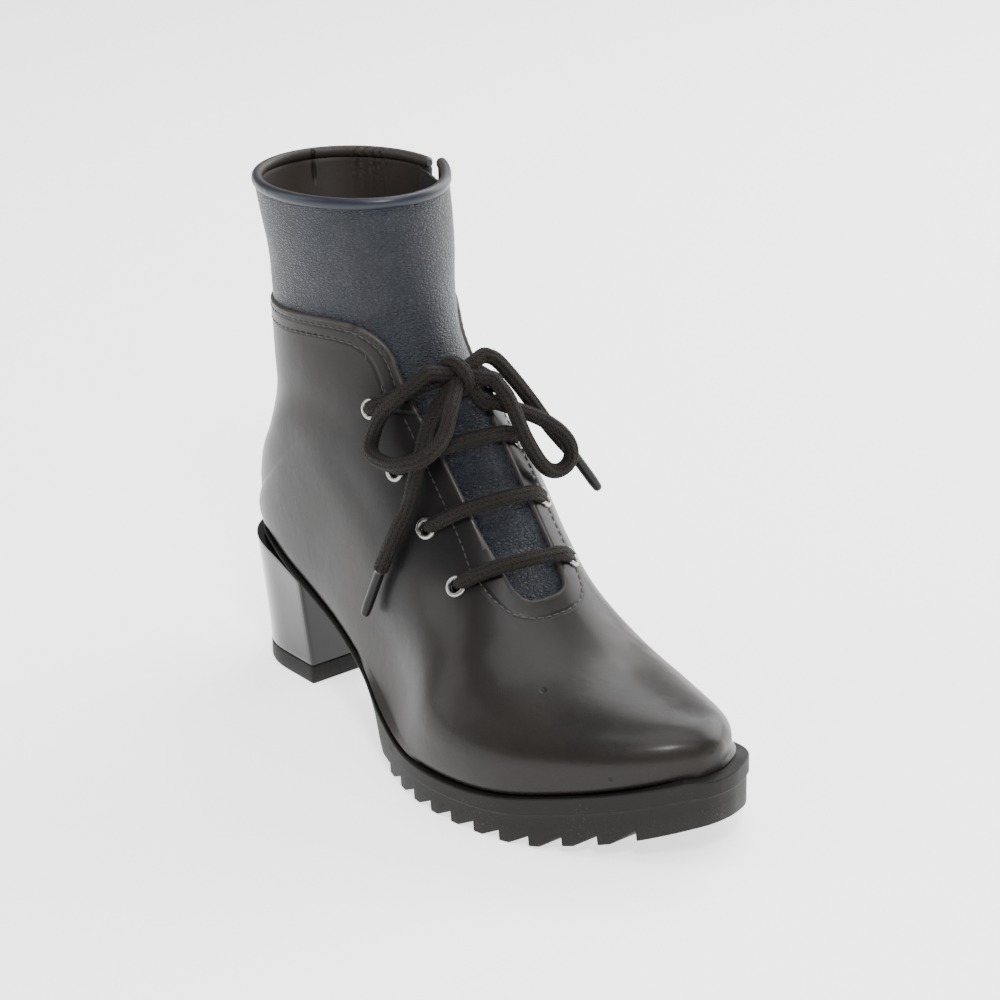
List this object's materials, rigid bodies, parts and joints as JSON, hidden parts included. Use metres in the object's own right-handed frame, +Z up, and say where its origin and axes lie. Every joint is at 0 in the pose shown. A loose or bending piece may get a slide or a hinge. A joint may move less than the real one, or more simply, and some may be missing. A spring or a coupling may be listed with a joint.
{
  "type": "ankle boot",
  "caption": "Women's right lace-up ankle boot with smooth black leather below a grained navy shaft, bow-tied lace, side zip, lugged platform and glossy block heel.",
  "frame": {"origin": "on the floor, in the middle of the heel's top lift", "axes": "+X forward to the toe, +Y to the medial side (the wearer's left, as this is a right boot), +Z up"},
  "size_m": [0.2516, 0.1052, 0.2051],
  "materials": {
    "black_leather": "smooth satin",
    "navy_leather": "pebble grain",
    "binding_leather": "smooth satin",
    "insole_leather": "matte",
    "sole_rubber": "matte",
    "lift_rubber": "matte",
    "heel_lacquer": "high gloss",
    "nickel": "satin nickel plate",
    "zip_metal": "satin nickel plate",
    "pull_metal": "satin nickel plate",
    "zip_tape": "woven",
    "lace_cord": "round braid",
    "aglet_plastic": "gloss"
  },
  "bodies": {
    "boot": {"upper": "black_leather", "shaft": "navy_leather", "tongue": "navy_leather", "collar_binding": "binding_leather", "insole": "insole_leather", "outsole": "sole_rubber", "heel_block": "heel_lacquer", "heel_top_lift": "lift_rubber", "zip": "zip_tape", "zip_slider": "zip_metal", "eyelet_lateral_1": "nickel", "eyelet_lateral_2": "nickel", "eyelet_lateral_3": "nickel", "eyelet_lateral_4": "nickel", "eyelet_medial_1": "nickel", "eyelet_medial_2": "nickel", "eyelet_medial_3": "nickel", "eyelet_medial_4": "nickel", "lace_bar_1": "lace_cord", "lace_bar_2": "lace_cord", "lace_bar_3": "lace_cord", "lace_rise_lateral": "lace_cord", "lace_rise_medial": "lace_cord", "lace_knot": "lace_cord", "lace_loop_lateral": "lace_cord", "lace_loop_medial": "lace_cord", "lace_end_lateral": "lace_cord", "lace_end_medial": "lace_cord", "aglet_lateral": "aglet_plastic", "aglet_medial": "aglet_plastic"},
    "zip_pull": {"zip_pull": "pull_metal"}
  },
  "joints": [
    {"name": "zip_pull_hinge", "type": "hinge", "parent": "boot", "child": "zip_pull", "pos_m": [0.03719, 0.03459, 0.19019], "axis": [0.9958, 0, -0.0921], "range_deg": [0, 160]}
  ]
}
